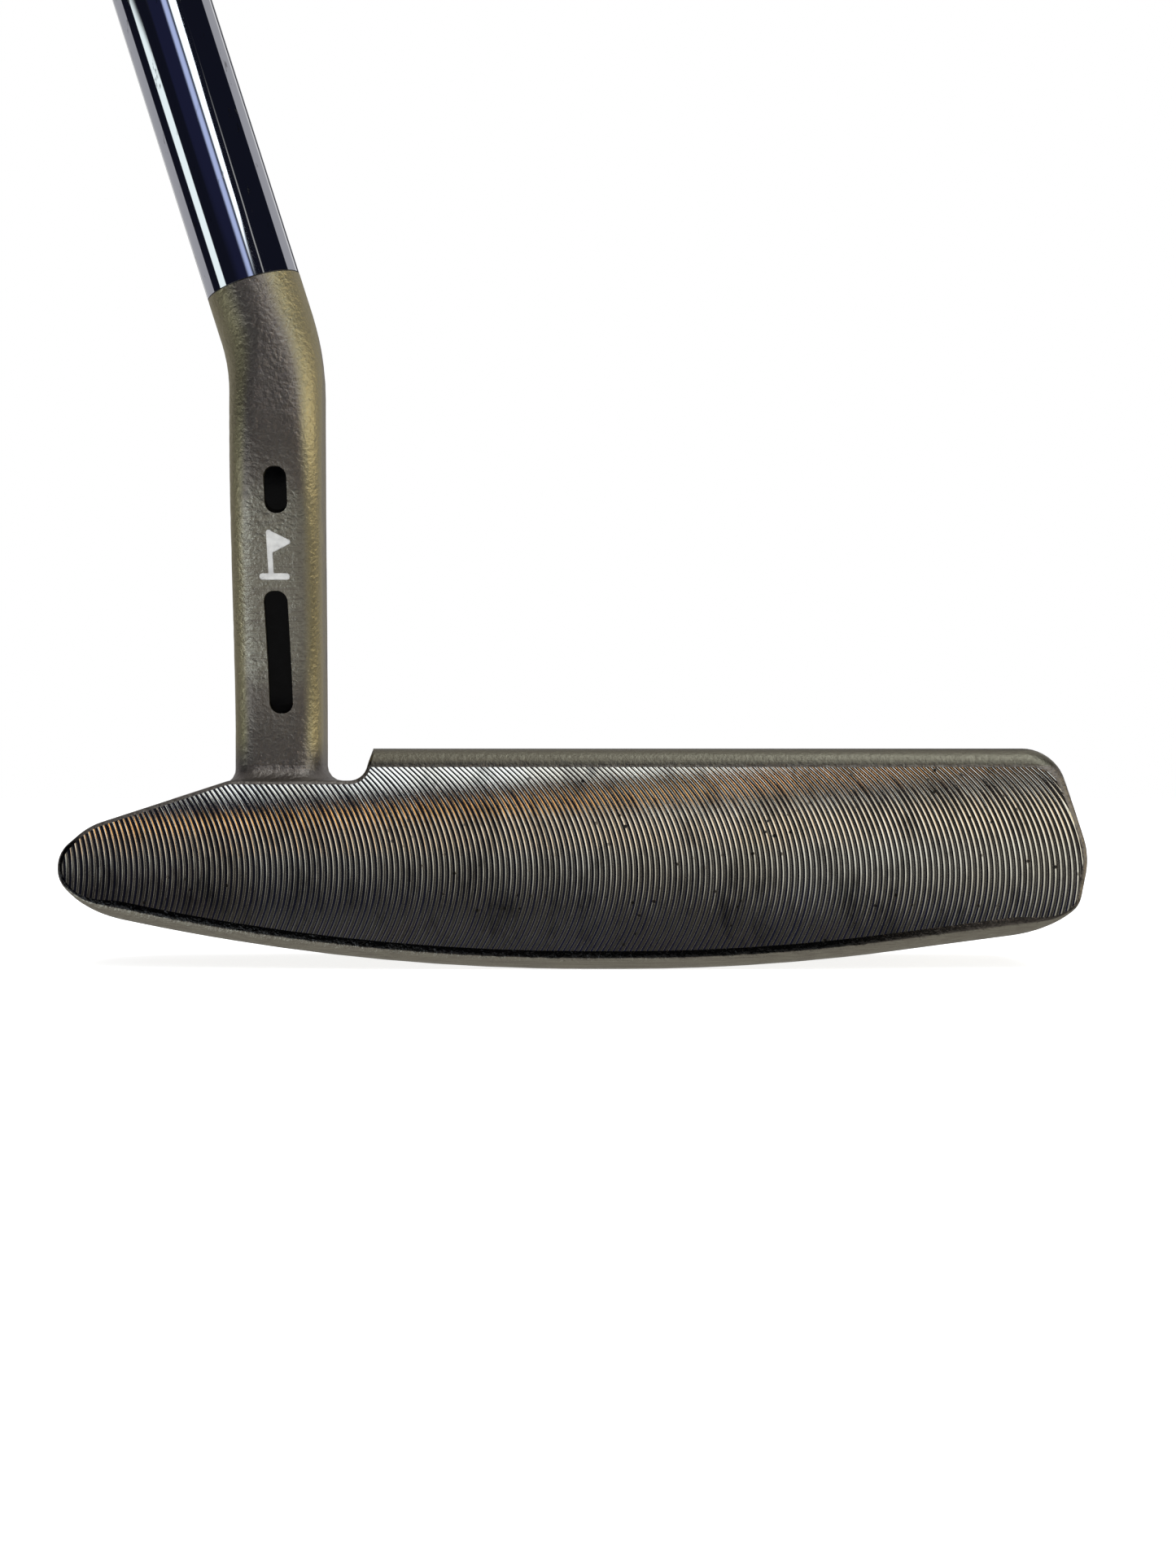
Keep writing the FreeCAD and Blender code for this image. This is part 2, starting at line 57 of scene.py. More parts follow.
# ------------------------------------------------------------------ node helpers


class Graph:
    """Short calls that add shader nodes. A value that is a socket is linked, and any other is set."""

    def __init__(self, tree):
        self.tree = tree
        tree.nodes.clear()

    def add(self, kind, values=None, **properties):
        node = self.tree.nodes.new(kind)
        for key, value in properties.items():
            setattr(node, key, value)
        for key, value in (values or {}).items():
            self.put(node.inputs[key], value)
        return node

    def put(self, socket, value):
        if isinstance(value, bpy.types.NodeSocket):
            self.tree.links.new(value, socket)
        else:
            socket.default_value = value

    def math(self, operation, a, b=0.0):
        return self.add("ShaderNodeMath", {0: a, 1: b}, operation=operation).outputs[0]

    def times(self, first, *others):
        """The product of all the values."""
        for other in others:
            first = self.math("MULTIPLY", first, other)
        return first

    def step(self, value, low, high):
        """Rises smoothly from 0 at low to 1 at high."""
        node = self.add("ShaderNodeMapRange", {0: value, 1: low, 2: high}, interpolation_type="SMOOTHSTEP")
        return node.outputs[0]

    def range(self, value, low, high, out_low=0.0, out_high=1.0):
        return self.add("ShaderNodeMapRange", {0: value, 1: low, 2: high, 3: out_low, 4: out_high}).outputs[0]

    def mix(self, factor, a, b):
        """A mix of two colours."""
        node = self.add("ShaderNodeMix", data_type="RGBA")
        self.put(node.inputs[0], factor)
        self.put(node.inputs[6], colour(a))
        self.put(node.inputs[7], colour(b))
        return node.outputs[2]

    def place(self, scale=(1, 1, 1), turn=(0, 0, 0)):
        """The object's own coordinates, stretched and turned."""
        source = self.add("ShaderNodeTexCoord").outputs["Object"]
        return self.add("ShaderNodeMapping", {"Vector": source, "Scale": scale, "Rotation": turn}).outputs[0]

    def parts(self, vector):
        """The three components of a vector."""
        return self.add("ShaderNodeSeparateXYZ", {0: vector}).outputs

    def noise(self, where, scale, detail=3.0, roughness=0.55):
        values = {"Vector": where, "Scale": scale, "Detail": detail, "Roughness": roughness}
        return self.add("ShaderNodeTexNoise", values).outputs[0]

    def bump(self, height, distance, strength=1.0, normal=None):
        values = {"Height": height, "Distance": distance, "Strength": strength}
        if normal is not None:
            values["Normal"] = normal
        return self.add("ShaderNodeBump", values).outputs[0]

    def finish(self, **values):
        """The principled shader and the output."""
        inputs = {key.replace("_", " "): value for key, value in values.items()}
        shader = self.add("ShaderNodeBsdfPrincipled", inputs)
        self.add("ShaderNodeOutputMaterial", {"Surface": shader.outputs[0]})


def colour(value):
    return value if isinstance(value, bpy.types.NodeSocket) else (*value, 1.0)


def new_graph(name):
    material = bpy.data.materials.new(name)
    material.use_nodes = True
    return material, Graph(material.node_tree)


def dress(node, material):
    """Gives a CAD node a material."""
    for slot in frame["nodes"][node].material_slots:
        slot.material = material


def new_piece(name, vertices, faces, material):
    """A mesh object in the scene, in one material."""
    mesh = bpy.data.meshes.new(name)
    mesh.from_pydata(vertices, [], faces)
    mesh.update()
    mesh.materials.append(material)
    piece = bpy.data.objects.new(name, mesh)
    bpy.context.scene.collection.objects.link(piece)
    return piece


# ------------------------------------------------------------------ materials


TOPLINE_LOW, TOPLINE_HIGH = (22.2 * MM, 22.6 * MM), (26.2 * MM, 25.8 * MM)
TOPLINE_HEEL = (-26.5 * MM, -25.8 * MM)
LIP_TOP, LIP_DEPTH = (15.0 * MM, 13.5 * MM), (-9.5 * MM, -10.5 * MM)


def head_metal():
    """Bead-blasted steel with a smoky tint. The sole and the topline are finely brushed. The topline is
    painted lighter where it faces up, as painted shade; the neck's rounded sides are painted olive gold, as a
    painted highlight; and the polished edge under the face is painted near black, as a painted reflection."""
    material, g = new_graph("head_metal")
    where = g.place()
    facing = g.parts(g.add("ShaderNodeNewGeometry").outputs["Normal"])
    x, y, z = g.parts(where)
    side = g.math("ABSOLUTE", facing[0])

    under = g.step(facing[2], -0.30, -0.38)
    topline = g.times(g.step(z, *TOPLINE_LOW), g.step(z, *TOPLINE_HIGH), g.step(x, *TOPLINE_HEEL))
    brushed = g.math("MAXIMUM", under, topline)
    low_front = g.times(g.step(z, *LIP_TOP), g.step(y, *LIP_DEPTH))
    # the polished edge under the face: less rough, and painted near black as a painted reflection of the dark
    # room
    lip_polish_and_painted_dark = g.times(low_front, g.step(side, 0.75, 0.45), g.step(facing[2], -0.40, -0.30))
    lip_polish_and_painted_dark = g.times(lip_polish_and_painted_dark, g.range(x, 26.0 * MM, 44.0 * MM, 1.0, 0.45))
    # painted highlight: the front of the neck's rounded sides, above the head, is marked for a painted
    # olive-gold colour in place of warm reflected light
    turned = g.times(g.step(side, 0.22, 0.62), g.step(facing[1], 0.1, -0.1), g.step(z, 22.0 * MM, 26.0 * MM))

    cloud = g.noise(where, 190.0, 4.0)
    grain = g.noise(where, 2600.0, 2.0)
    peel = g.noise(where, 1500.0, 2.0)
    lines = g.noise(g.place(scale=(0.02, 1, 1)), 7000.0, 3.0, 0.6)

    tone = g.mix(g.range(cloud, 0.35, 0.65), (0.215, 0.190, 0.172), (0.250, 0.222, 0.198))
    tone = g.mix(g.times(brushed, g.range(lines, 0.3, 0.7, 0.2, 1.0)), tone, (0.36, 0.345, 0.29))
    # painted highlight: olive gold painted on the neck's rounded sides
    tone = g.mix(turned, tone, (0.42, 0.37, 0.235))
    # painted shade: the topline strip is painted darker where it turns away from straight up and lighter
    # where it faces up
    strip = g.mix(g.step(facing[2], 0.1, 0.9), (0.115, 0.104, 0.080), (0.235, 0.213, 0.162))
    tone = g.mix(topline, tone, strip)
    # painted reflection: near black painted on the polished edge under the face
    tone = g.mix(lip_polish_and_painted_dark, tone, (0.022, 0.022, 0.023))

    rough = g.range(grain, 0.3, 0.7, 0.44, 0.54)
    rough = g.math("SUBTRACT", rough, g.times(brushed, g.range(lines, 0.3, 0.7, 0.05, 0.15)))
    rough = g.math("SUBTRACT", rough, g.times(lip_polish_and_painted_dark, 0.30))
    skin = g.math("ADD", g.times(grain, 0.55), g.times(peel, 0.75))
    blasted = g.bump(skin, 0.16 * MM, g.range(topline, 0.0, 1.0, 0.9, 0.4))
    scored = g.bump(g.times(lines, brushed), 0.03 * MM, 0.5, blasted)
    g.finish(Base_Color=tone, Metallic=1.0, Roughness=rough, Normal=scored)
    return material


def milled_metal():
    """The freshly cut steel of the striking face, with tool chatter, smudges and a few dark pits."""
    material, g = new_graph("milled_metal")
    where = g.place()
    cloud = g.noise(where, 95.0, 3.0)
    fine = g.noise(where, 3800.0, 3.0, 0.6)
    smudge = g.noise(g.place(scale=(1, 1, 0.5)), 330.0, 5.0, 0.7)
    pits = g.add("ShaderNodeTexVoronoi", {"Vector": where, "Scale": 620.0}, feature="F1").outputs["Distance"]
    pitted = g.times(g.step(pits, 0.17, 0.09), g.step(cloud, 0.45, 0.6))

    steel = g.mix(g.range(cloud, 0.38, 0.66), (0.54, 0.52, 0.485), (0.50, 0.46, 0.40))
    steel = g.mix(g.range(fine, 0.35, 0.7, 0.0, 0.25), steel, (0.22, 0.205, 0.19))
    steel = g.mix(g.range(smudge, 0.5, 0.72, 0.0, 0.75), steel, (0.11, 0.105, 0.10))
    steel = g.mix(pitted, steel, (0.03, 0.028, 0.025))
    rough = g.math("ADD", g.range(fine, 0.3, 0.7, 0.06, 0.12), g.times(pitted, 0.3))
    g.finish(Base_Color=steel, Metallic=1.0, Roughness=rough, Normal=g.bump(fine, 0.006 * MM, 0.3))
    return material


def chrome():
    """Mirror plate with light scuffs."""
    material, g = new_graph("shaft_chrome")
    scuffs = g.noise(g.place(scale=(1, 1, 0.25)), 900.0, 4.0, 0.7)
    ripple = g.noise(g.place(turn=(0.0, SHAFT_LEAN, 0.0)), 70.0, 1.0)
    marks = g.step(scuffs, 0.62, 0.70)
    tint = g.mix(marks, (0.60, 0.61, 0.66), (0.32, 0.32, 0.34))
    rough = g.math("ADD", g.times(marks, 0.12), 0.035)
    g.finish(Base_Color=tint, Metallic=1.0, Roughness=rough, Normal=g.bump(ripple, 0.1 * MM, 0.35))
    return material


def enamel(name, low, high, roughness, shine=0.5):
    """Paint that has levelled in its recess."""
    material, g = new_graph(name)
    cloud = g.noise(g.place(), 900.0, 2.0)
    g.finish(
        Base_Color=g.mix(g.range(cloud, 0.3, 0.7), low, high),
        Metallic=0.0,
        Roughness=g.range(cloud, 0.3, 0.7, roughness, roughness + 0.08),
        Specular_IOR_Level=shine,
        Normal=g.bump(cloud, 0.05 * MM, 0.2),
    )
    return material


def rubber(name, tone):
    """Moulded rubber with a fine matt grain and slight bloom."""
    material, g = new_graph(name)
    where = g.place()
    grain = g.noise(where, 2400.0, 3.0, 0.6)
    bloom = g.noise(where, 60.0, 4.0)
    lighter = tuple(min(1.0, c * 1.7 + 0.004) for c in tone)
    g.finish(
        Base_Color=g.mix(g.range(bloom, 0.35, 0.7), tone, lighter),
        Metallic=0.0,
        Roughness=g.range(grain, 0.3, 0.7, 0.55, 0.75),
        Normal=g.bump(grain, 0.08 * MM, 0.5),
    )
    return material


RING_INNER, RING_OUTER = (16.5 * MM, 16.8 * MM), (19.2 * MM, 18.9 * MM)


def foil():
    """A dark foil band with a silver ring near each end."""
    material, g = new_graph("band_foil")
    x, _, z = g.parts(g.place())
    along = g.math("ADD", g.times(z, math.cos(SHAFT_LEAN)), g.times(x, -math.sin(SHAFT_LEAN)))
    low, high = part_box("shaft_band")
    middle = (low + high) / 2
    centre = middle.z * math.cos(SHAFT_LEAN) - middle.x * math.sin(SHAFT_LEAN)
    off = g.math("ABSOLUTE", g.math("SUBTRACT", along, centre))
    ring = g.times(g.step(off, *RING_INNER), g.step(off, *RING_OUTER))
    fibre = g.noise(g.place(scale=(1, 1, 8)), 900.0, 2.0)
    base = g.mix(g.range(fibre, 0.3, 0.7), (0.03, 0.03, 0.034), (0.05, 0.05, 0.056))
    tone = g.mix(ring, base, (0.55, 0.54, 0.5))
    g.finish(Base_Color=tone, Metallic=g.times(ring, 0.8), Roughness=g.range(fibre, 0.3, 0.7, 0.22, 0.34))
    return material


def paper():
    """Creped tape."""
    material, g = new_graph("tape_paper")
    crepe = g.noise(g.place(scale=(1, 1, 3)), 1500.0, 3.0)
    tone = g.mix(crepe, (0.62, 0.58, 0.46), (0.74, 0.71, 0.6))
    g.finish(Base_Color=tone, Metallic=0.0, Roughness=0.8, Normal=g.bump(crepe, 0.1 * MM, 0.5))
    return material


# ------------------------------------------------------------------ the milled face


PITCH, ARC_RADIUS, ARC_HEIGHT = 0.608 * MM, 15.1 * MM, 10.55 * MM
FIRST_CROWN, LAST_CROWN = -62.5 * MM, 57.5 * MM
ROWS = 40
ACROSS = (-0.5, -0.46, -0.4, -0.3, -0.15, 0.0, 0.15, 0.3, 0.4, 0.46)
STEEPEST, CUSP = math.radians(23), math.radians(3)
SLOPE_STEPS = 500
ON_FACE = 0.002 * MM
FINEST = 1e-7
FLOOR_LIFT = 0.006 * MM
SLAB_SINK = 0.05 * MM


def groove_heights():
    """The height of a scallop above its floor, at each of ACROSS, from its slope."""
    heights = []
    total, previous = 0.0, 0.0
    for k in range(SLOPE_STEPS + 1):
        u = k / (2 * SLOPE_STEPS)
        slope = math.tan(STEEPEST * 2 * u + CUSP * (2 * u) ** 8)
        total += slope * (u - previous) * PITCH
        previous = u
        heights.append(total)
    return [heights[round(abs(u) * 2 * SLOPE_STEPS)] for u in ACROSS]


def face_y(z):
    """Where the flat striking face is at this height."""
    return FACE_Y + (z - FACE_MID) * math.tan(LOFT)


def face_outline(head):
    """The edge segments of the flat striking face, as rows of x1, z1, x2, z2."""
    mesh = head.data
    normal = Vector((0.0, -math.cos(LOFT), math.sin(LOFT)))
    count = {}
    for polygon in mesh.polygons:
        centre = polygon.center
        if abs(centre.y - face_y(centre.z)) > ON_FACE or polygon.normal.dot(normal) < 0.9999:
            continue
        points = [mesh.vertices[v].co for v in polygon.vertices]
        corners = [(round(point.x / FINEST), round(point.z / FINEST)) for point in points]
        for a, b in zip(corners, corners[1:] + corners[:1]):
            key = (min(a, b), max(a, b))
            count[key] = count.get(key, 0) + 1
    edges = [(*a, *b) for (a, b), times in count.items() if times == 1 and a != b]
    return np.array(edges, float) * FINEST


def inside(x, z, edges):
    """Whether each point is inside the outline, by counting crossings."""
    x1, z1, x2, z2 = edges.T
    x, z = x[:, None], z[:, None]
    straddles = (z1 > z) != (z2 > z)
    with np.errstate(divide="ignore", invalid="ignore"):
        crossing = x1 + (z - z1) * (x2 - x1) / (z2 - z1)
    return (straddles & (x < crossing)).sum(1) % 2 == 1


def arc_x(crown, z):
    """Where the arc with that crown is at height z."""
    return crown - (ARC_RADIUS - np.sqrt(ARC_RADIUS**2 - (z - ARC_HEIGHT) ** 2))


def longest_run(hits):
    """The start and length of the longest run of true values."""
    best, start = (0, 0), None
    for k, hit in enumerate([*hits, False]):
        if hit and start is None:
            start = k
        if not hit and start is not None:
            best = max(best, (k - start, start))
            start = None
    return best[1], best[0]


def column_ends(crowns, edges):
    """Which arcs cross the face, and the lowest and highest point of each one's longest stretch inside it."""
    level_step = 0.1 * MM
    levels = np.arange(0.05, 24.0, 0.1) * MM
    low, high = np.full(len(crowns), np.nan), np.full(len(crowns), np.nan)
    hits = np.array([inside(arc_x(crowns, z), np.full(len(crowns), z), edges) for z in levels])
    for i in range(len(crowns)):
        start, length = longest_run(hits[:, i])
        if length > 2:
            low[i], high[i] = levels[start], levels[start + length - 1]
    kept = ~np.isnan(low)
    crowns, low, high = crowns[kept], low[kept], high[kept]
    ends = []
    for end, outwards in ((low, -level_step), (high, level_step)):
        within, beyond = end.copy(), end + outwards
        for _ in range(14):
            middle = (within + beyond) / 2
            hit = inside(arc_x(crowns, middle), middle, edges)
            within, beyond = np.where(hit, middle, within), np.where(hit, beyond, middle)
        ends.append(within)
    return kept, ends[0], ends[1]


def groove_columns():
    """The crown and the height above the groove's floor of every column of points, groove after groove."""
    rng = random.Random(5)
    heights = groove_heights()
    crowns, lifts = [], []
    for k in range(int((LAST_CROWN - FIRST_CROWN) / PITCH)):
        drift, depth = rng.uniform(-0.03, 0.03), rng.uniform(0.9, 1.06)
        for u, height in zip(ACROSS, heights):
            crowns.append(FIRST_CROWN + (k + u + drift * (1 - 4 * u * u)) * PITCH)
            lifts.append(height if u == ACROSS[0] else height * depth)
    return np.array(crowns), np.array(lifts)


def slab_faces(columns):
    """The faces of the slab, and for each whether it is smooth. Its front points come column by column, and
    then two points behind each column."""

    def at(column, row):
        return column * ROWS + row

    def behind(column, top):
        return columns * ROWS + column * 2 + top

    top_row, end = ROWS - 1, columns - 1
    faces = []
    for i in range(end):
        for j in range(top_row):
            faces.append((at(i, j), at(i + 1, j), at(i + 1, j + 1), at(i, j + 1)))
        faces.append((behind(i, 0), behind(i + 1, 0), at(i + 1, 0), at(i, 0)))
        faces.append((at(i, top_row), at(i + 1, top_row), behind(i + 1, 1), behind(i, 1)))
        faces.append((behind(i, 1), behind(i + 1, 1), behind(i + 1, 0), behind(i, 0)))
    faces.append((behind(0, 0), *(at(0, j) for j in range(ROWS)), behind(0, 1)))
    faces.append((behind(end, 1), *(at(end, j) for j in reversed(range(ROWS))), behind(end, 0)))
    smooth = ([True] * top_row + [False] * 3) * end + [False] * 2
    return faces, smooth


def sharpen_rim(mesh, columns):
    """Marks every edge that isn't inside the slab's front as sharp."""
    ends = np.empty(len(mesh.edges) * 2, int)
    mesh.edges.foreach_get("vertices", ends)
    ends = ends.reshape(-1, 2)
    column, row = ends // ROWS, ends % ROWS
    rim = (row == 0).all(1) | (row == ROWS - 1).all(1) | (column == 0).all(1) | (column == columns - 1).all(1)
    mesh.edges.foreach_set("use_edge_sharp", rim | (ends >= columns * ROWS).any(1))


def milled_face():
    """A thin closed slab over the flat face, whose front carries the arcs that the fly cutter leaves."""
    crowns, lifts = groove_columns()
    kept, low, high = column_ends(crowns, face_outline(frame["nodes"]["head"]))
    crowns, lifts = crowns[kept], lifts[kept]
    z = low[:, None] + (high - low)[:, None] * np.linspace(0.0, 1.0, ROWS)
    x = arc_x(crowns[:, None], z)
    waver = 1.0 + 0.05 * np.sin(z / MM * 1.9 + crowns[:, None] / MM * 2.7)
    y = face_y(z) - (FLOOR_LIFT + lifts[:, None] * waver)
    front = np.stack([x, y, z], axis=2)
    back = np.stack([x, face_y(z) + SLAB_SINK, z], axis=2)[:, [0, -1]]
    vertices = np.concatenate([front.reshape(-1, 3), back.reshape(-1, 3)])

    faces, smooth = slab_faces(len(crowns))
    piece = new_piece("milled_face", vertices.tolist(), faces, milled_metal())
    piece.data.polygons.foreach_set("use_smooth", smooth)
    sharpen_rim(piece.data, len(crowns))
    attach(piece, "root")


# ------------------------------------------------------------------ the grip's mould pattern


PAD_HEIGHT, PAD_SINK = 0.5 * MM, 0.3 * MM
CHAMFER_FROM, CHAMFER_IN = 0.6, 0.16
DIAMOND_ROWS, DIAMOND_START, DIAMOND_PITCH, DIAMOND_APART = 37, 22.0 * MM, 5.9 * MM, 5.0 * MM
RIB_ROWS, RIB_START, RIB_PITCH = 74, 20.0 * MM, 2.95 * MM
CLEAR = 40.0 * MM
CORNERS = [(math.sin(k * math.pi / 6), math.cos(k * math.pi / 6)) for k in range(12)]


def pad_outline(half_long, half_wide, power):
    """A closed outline round the origin: power 1 is an ellipse, more is pointed and less is squarer."""
    return [
        (math.copysign(abs(v) ** power, v) * half_long, math.copysign(abs(u) ** power, u) * half_wide)
        for u, v in CORNERS
    ]


def grip_pattern():
    """Raised pads that stand out of the rubber: diamonds down the thumb flat, short ribs round the back."""
    vent = next(mount for mount in frame["record"]["mounts"] if mount["name"] == "butt_vent")
    butt, along = Vector(vent["pos_m"]), Vector(vent["axis"]).normalized()
    front = Vector((along.z, 0.0, -along.x))
    across = along.cross(front)
    grip = frame["nodes"]["grip"].data
    surface = BVHTree.FromPolygons([v.co for v in grip.vertices], [list(p.vertices) for p in grip.polygons])
    vertices, faces = [], []

    def pad(down, angle, offset, outline):
        """One closed pad, down metres below the butt, turned by angle from the flat and shifted sideways."""
        outwards = front * math.cos(angle) + across * math.sin(angle)
        sideways = along.cross(outwards)
        rings = [[], [], []]
        for long, wide in outline:
            foot = butt - along * (down + long) + sideways * (offset + wide)
            hit, normal, _, _ = surface.ray_cast(foot + outwards * CLEAR, -outwards)
            if hit is None:
                return
            inwards = (along * long - sideways * wide) * CHAMFER_IN
            rings[0].append(hit - normal * PAD_SINK)
            rings[1].append(hit + normal * PAD_HEIGHT * CHAMFER_FROM)
            rings[2].append(hit + normal * PAD_HEIGHT + inwards)
        first, count = len(vertices), len(outline)
        for ring in rings:
            vertices.extend(ring)
        for level in (0, 1):
            for k in range(count):
                a, b = first + level * count + k, first + level * count + (k + 1) % count
                faces.append((a, b, b + count, a + count))
        faces.append(tuple(first + k for k in reversed(range(count))))
        faces.append(tuple(first + 2 * count + k for k in range(count)))

    diamond, rib = pad_outline(2.6 * MM, 1.35 * MM, 1.35), pad_outline(0.55 * MM, 2.3 * MM, 0.6)
    for row in range(DIAMOND_ROWS):
        for place in (-1.0, 0.0, 1.0) if row % 2 else (-0.5, 0.5):
            pad(DIAMOND_START + row * DIAMOND_PITCH, 0.0, place * DIAMOND_APART, diamond)
    for row in range(RIB_ROWS):
        for turn in (-46, 0, 46) if row % 2 else (-23, 23):
            pad(RIB_START + row * RIB_PITCH, math.radians(180 + turn), 0.0, rib)

    piece = new_piece("grip_pattern", vertices, faces, rubber("pattern_rubber", (0.030, 0.030, 0.031)))
    outward = bmesh.new()
    outward.from_mesh(piece.data)
    bmesh.ops.recalc_face_normals(outward, faces=outward.faces)
    outward.to_mesh(piece.data)
    outward.free()
    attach(piece, "root")


# ------------------------------------------------------------------ floor, light, camera


WINDOW_UP, WINDOW_BEND = 22.3, 20.0
WINDOW_GENTLE, WINDOW_STEEP = 0.45, 0.86
LOWER_SLOPE, WALL_SLOPE = 0.60, 1.6
DARK_ROOM, PALE_BACK = (0.008, 0.009, 0.017), (0.46, 0.46, 0.475)
CEILING, GROUND = (0.50, 0.50, 0.49), (0.47, 0.46, 0.43)


def studio_world():
    """Panels of light round a dark room, seen by the metal. The camera itself sees plain white. Places are in
    degrees: across from straight in front of the face, towards the toe, and up from level."""
    world = bpy.data.worlds.new("studio")
    bpy.context.scene.world = world
    world.use_nodes = True
    g = Graph(world.node_tree)
    x, y, z = g.parts(g.add("ShaderNodeTexCoord").outputs["Generated"])
    degrees = 180 / math.pi
    across = g.times(g.math("ARCTAN2", x, g.times(y, -1.0)), degrees)
    up = g.times(g.math("ARCSINE", z), degrees)

    def within(value, low, high, soft):
        return g.times(g.step(value, low - soft, low + soft), g.step(value, high + soft, high - soft))

    def panel(left, right, low, high, soft):
        return g.times(within(across, left, right, soft), within(up, low, high, soft))

    beyond = g.math("SUBTRACT", across, WINDOW_BEND)
    gentle = g.times(g.math("MINIMUM", beyond, 0.0), WINDOW_GENTLE)
    steep = g.times(g.math("MAXIMUM", beyond, 0.0), WINDOW_STEEP)
    above_sill = g.math("SUBTRACT", up, g.math("ADD", g.math("ADD", gentle, steep), WINDOW_UP))
    fall = g.math("ADD", up, g.times(across, LOWER_SLOPE))
    rise = g.math("ADD", across, g.times(up, WALL_SLOPE))

    def strip(left, right, low, high, soft):
        """A band along the window's slanting sill, low to high above it."""
        return g.times(within(across, left, right, 3.0), within(above_sill, low, high, soft))

    aside = g.math("ABSOLUTE", across)
    at_back = g.math("MAXIMUM", g.step(across, 110.5, 112.5), g.step(across, -104.0, -106.0))
    room = g.mix(at_back, DARK_ROOM, PALE_BACK)
    room = g.mix(g.times(g.step(aside, 160.0, 163.0), g.step(aside, 171.0, 168.0)), room, (0.03, 0.03, 0.035))
    room = g.mix(g.times(g.step(aside, 149.0, 151.0), g.step(aside, 160.0, 158.0)), room, (0.78, 0.78, 0.77))
    room = g.mix(g.step(up, 62.0, 80.0), room, CEILING)
    room = g.mix(g.step(up, -26.0, -34.0), room, GROUND)

    under_sill = g.step(above_sill, -10.4, -11.6)
    scaled = {0: (1.0, 1.03, 0.96), "Scale": g.range(rise, 27.0, 66.0, 0.06, 2.1)}
    wall = g.add("ShaderNodeVectorMath", scaled, operation="SCALE").outputs[0]
    lights = [
        # in front of the face: the bench, a shelf, the window, its gold and grey sills and the wall under it
        (panel(-18.0, 48.0, -24.0, 8.0, 3.0), (0.050, 0.049, 0.047)),
        (panel(-60.0, -37.0, 12.0, 24.0, 3.0), (0.19, 0.19, 0.185)),
        (strip(11.5, 56.0, 0.0, 60.0, 0.5), (2.7, 2.95, 3.05)),
        (strip(8.5, 19.0, -7.4, -3.9, 0.4), (3.0, 1.62, 0.52)),
        (strip(-6.0, 38.0, -10.0, -8.2, 0.4), (0.50, 0.50, 0.47)),
        (g.times(panel(20.0, 66.0, -24.0, 21.5, 2.5), under_sill), wall),
        (g.times(panel(22.0, 34.0, 9.0, 17.0, 2.0), under_sill), (1.6, 1.2, 0.78)),
        # low on the heel's side, at the far left, at the far right, and high up
        (g.times(panel(-62.0, -18.0, -40.0, -6.0, 1.5), g.step(fall, -44.0, -46.0)), (2.1, 2.3, 2.35)),
        (panel(-80.0, -62.0, -13.0, 3.5, 1.0), (1.28, 1.42, 1.36)),
        (panel(69.0, 98.0, -12.0, 20.0, 4.0), (2.3, 2.05, 1.45)),
        (panel(-40.0, 16.0, 38.0, 62.0, 5.0), (0.85, 0.82, 0.78)),
        # the navy and pale blue stripes of the shaft
        (panel(-36.0, -6.0, 6.0, 34.0, 3.0), (0.015, 0.017, 0.045)),
        (panel(-5.0, 6.0, 13.0, 34.0, 3.0), (0.62, 0.72, 1.05)),
    ]
    for mask, tone in lights:
        room = g.mix(mask, room, tone)
    seen = g.add("ShaderNodeLightPath").outputs["Is Camera Ray"]
    background = g.add("ShaderNodeBackground", {"Color": g.mix(seen, room, WHITE)})
    g.add("ShaderNodeOutputWorld", {"Surface": background.outputs[0]})


FLOOR_HALF, FLOOR_DROP = 3.0, 0.02 * MM


def floor():
    """A plain pale floor that the metal doesn't reflect, because the world's panels reach below it."""
    corners = [(-1, -1), (1, -1), (1, 1), (-1, 1)]
    material, g = new_graph("pale_floor")
    lit = g.add("ShaderNodeBsdfDiffuse", {"Color": (0.9, 0.9, 0.9, 1.0)})
    glow = g.add("ShaderNodeEmission", {"Color": (0.8, 0.8, 0.8, 1.0)})
    both = g.add("ShaderNodeAddShader", {0: lit.outputs[0], 1: glow.outputs[0]})
    g.add("ShaderNodeOutputMaterial", {"Surface": both.outputs[0]})
    points = [(x * FLOOR_HALF, y * FLOOR_HALF, -FLOOR_DROP) for x, y in corners]
    plane = new_piece("floor", points, [(0, 1, 2, 3)], material)
    plane.visible_glossy = False


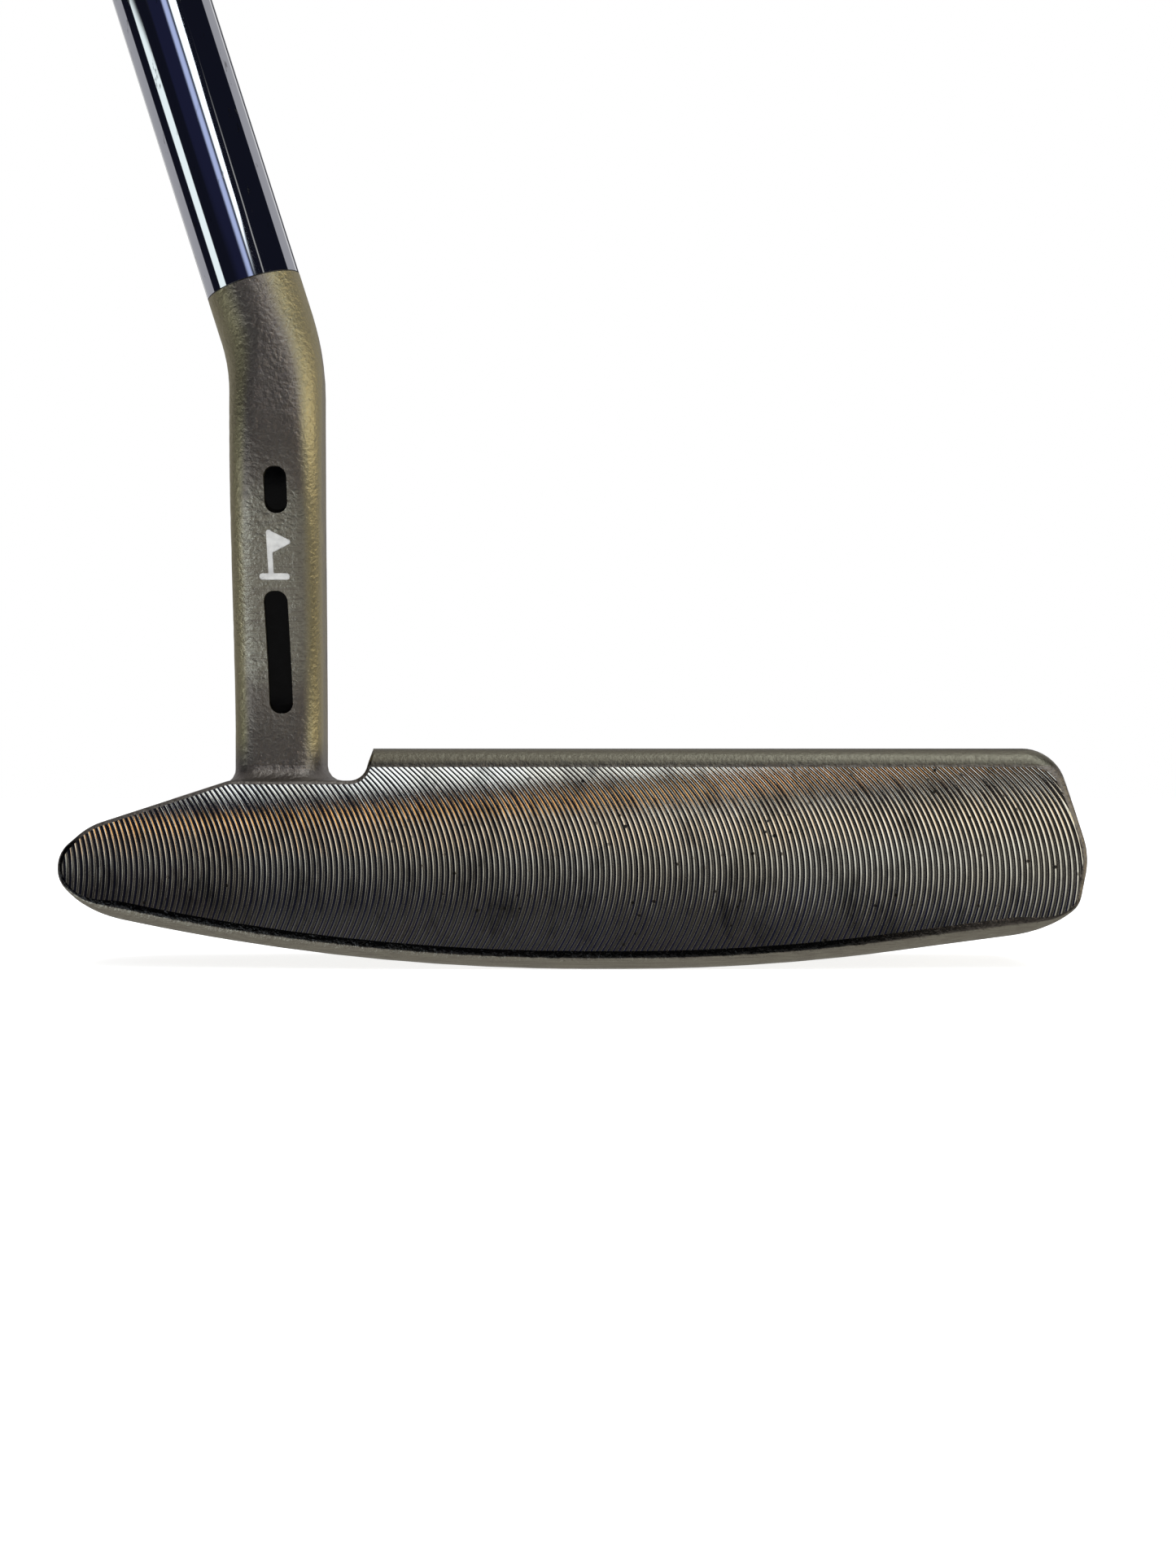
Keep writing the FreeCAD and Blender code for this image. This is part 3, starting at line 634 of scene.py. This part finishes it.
def overhead_light():
    """One large soft light above, which casts the faint shadow on the floor and isn't reflected."""
    light = bpy.data.lights.new("overhead", "AREA")
    light.shape, light.size, light.size_y = "RECTANGLE", 1.2, 1.2
    light.energy, light.color = 9.0, (1.0, 0.99, 0.97)
    where, aim = Vector((0.25, -0.15, 1.4)), Vector((-0.05, 0.0, 0.1))
    lamp = bpy.data.objects.new("overhead", light)
    lamp.location = where
    lamp.rotation_euler = (aim - where).to_track_quat("-Z", "Y").to_euler()
    lamp.visible_camera = False
    lamp.visible_glossy = False
    bpy.context.scene.collection.objects.link(lamp)


SENSOR = 36.0
EYE_DISTANCE, EYE_X, EYE_Z = 262.0 * MM, -2.05 * MM, 20.37 * MM
VIEW_HEIGHT = 171.747 * MM


def camera():
    """A phone camera held level with the head, square to the face, where it sees VIEW_HEIGHT."""
    data = bpy.data.cameras.new("camera")
    data.sensor_fit = "VERTICAL"
    data.sensor_height = SENSOR
    data.lens = SENSOR * EYE_DISTANCE / VIEW_HEIGHT
    data.clip_start = 10.0 * MM
    eye = bpy.data.objects.new("camera", data)
    eye.location = (EYE_X, FACE_Y - EYE_DISTANCE, EYE_Z)
    eye.rotation_euler = (math.pi / 2, 0.0, 0.0)
    bpy.context.scene.collection.objects.link(eye)
    bpy.context.scene.camera = eye


def main():
    bpy.context.scene.view_settings.view_transform = "Standard"
    camera()
    studio_world()
    floor()
    overhead_light()
    black = enamel("black_enamel", (0.0006, 0.0006, 0.0008), (0.0012, 0.0012, 0.0015), 0.08, 0.10)
    white = enamel("white_enamel", (0.40, 0.40, 0.40), (0.56, 0.56, 0.55), 0.3)
    dress("head", head_metal())
    dress("upper_slot_enamel", black)
    dress("lower_slot_enamel", black)
    dress("neck_mark_enamel", white)
    dress("sight_line_enamel", white)
    dress("hosel_epoxy", enamel("epoxy", (0.012, 0.011, 0.010), (0.03, 0.027, 0.022), 0.3))
    dress("shaft", chrome())
    dress("shaft_band", foil())
    dress("grip_tape", paper())
    dress("grip", rubber("grip_rubber", (0.011, 0.011, 0.012)))
    dress("grip_cap", rubber("cap_rubber", (0.02, 0.02, 0.021)))
    milled_face()
    grip_pattern()


main()
